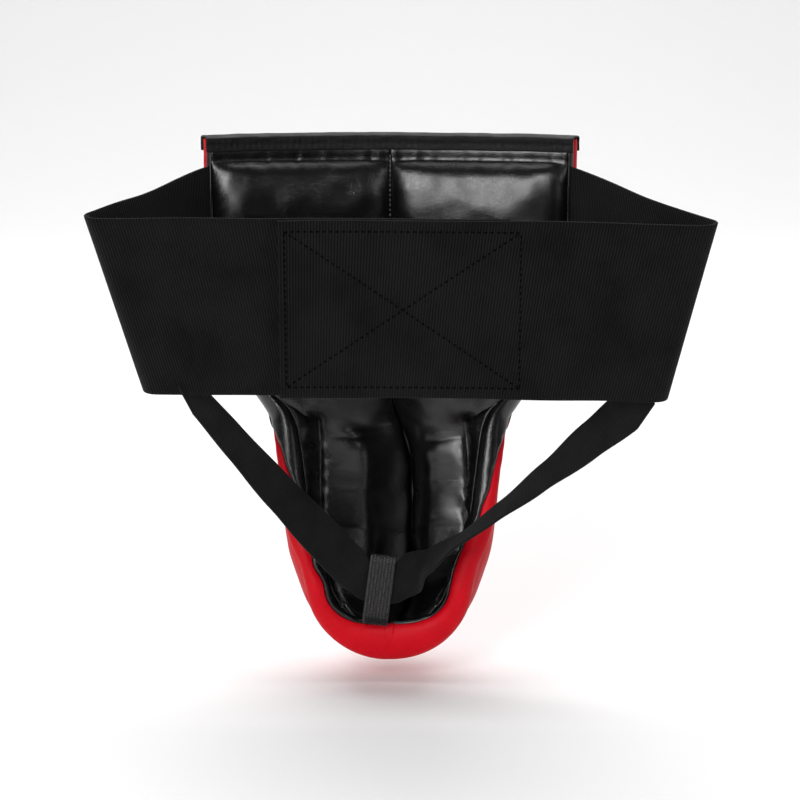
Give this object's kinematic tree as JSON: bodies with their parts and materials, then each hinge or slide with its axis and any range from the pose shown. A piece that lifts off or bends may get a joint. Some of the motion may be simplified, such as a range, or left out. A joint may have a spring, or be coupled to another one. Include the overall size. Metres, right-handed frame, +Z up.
{
  "type": "groin protector",
  "caption": "Padded belly panel and curled groin cup on an elastic waist belt with a hook and loop flap and elastic leg straps joined in a webbing tab.",
  "frame": {"origin": "middle of the waist opening, about half way up the belt", "axes": "+Z up, +Y away from the wearer through the belly panel, +X to the right when seen from the wearer's side"},
  "size_m": [0.3503, 0.1853, 0.3233],
  "materials": {
    "red_leather": "smooth semi-matt",
    "black_leather": "glossy fine grain",
    "black_tape": "folded glossy tape",
    "foam": "closed cell foam",
    "shell_plastic": "moulded",
    "belt_elastic": "ribbed woven elastic",
    "strap_elastic": "woven elastic",
    "hook_tape": "moulded hooks on tape",
    "loop_tape": "brushed loops",
    "webbing": "coarse woven webbing",
    "thread": "twisted thread"
  },
  "bodies": {
    "guard": {"front_cover_right": "red_leather", "front_cover_left": "red_leather", "rim_cover_right": "red_leather", "rim_cover_left": "red_leather", "foot_cover_right": "red_leather", "foot_cover_left": "red_leather", "panel_lining_right": "black_leather", "panel_lining_left": "black_leather", "cup_lining_right": "black_leather", "cup_lining_left": "black_leather", "cup_gusset_right": "black_leather", "cup_gusset_left": "black_leather", "panel_foam": "foam", "cup_inner_foam": "foam", "hard_cup": "shell_plastic", "cup_outer_foam": "foam", "rim_roll_right": "foam", "rim_roll_left": "foam", "rim_roll_foot": "foam", "top_binding": "black_tape", "binding_stitching": "thread", "webbing_tab": "webbing", "tab_bar_tack": "thread", "leg_strap_left": "strap_elastic", "leg_strap_right": "strap_elastic"},
    "belt_right_half": {"belt_right": "belt_elastic"},
    "belt_left_half": {"belt_left": "belt_elastic", "loop_patch": "loop_tape"},
    "flap": {"closure_flap": "belt_elastic", "hook_patch": "hook_tape", "flap_stitching": "thread"}
  },
  "joints": [
    {"name": "belt_right_swing", "type": "hinge", "parent": "guard", "child": "belt_right_half", "pos_m": [0.1125, 0.05442, 0], "axis": [0, 0, 1], "range_deg": [0, 50]},
    {"name": "belt_left_swing", "type": "hinge", "parent": "guard", "child": "belt_left_half", "pos_m": [-0.1125, 0.05442, 0], "axis": [0, 0, 1], "range_deg": [0, 15]},
    {"name": "flap_peel", "type": "hinge", "parent": "belt_right_half", "child": "flap", "pos_m": [0.08215, -0.0715, -0.00241], "axis": [0, -0.1076, 0.9942], "range_deg": [0, 120]}
  ]
}
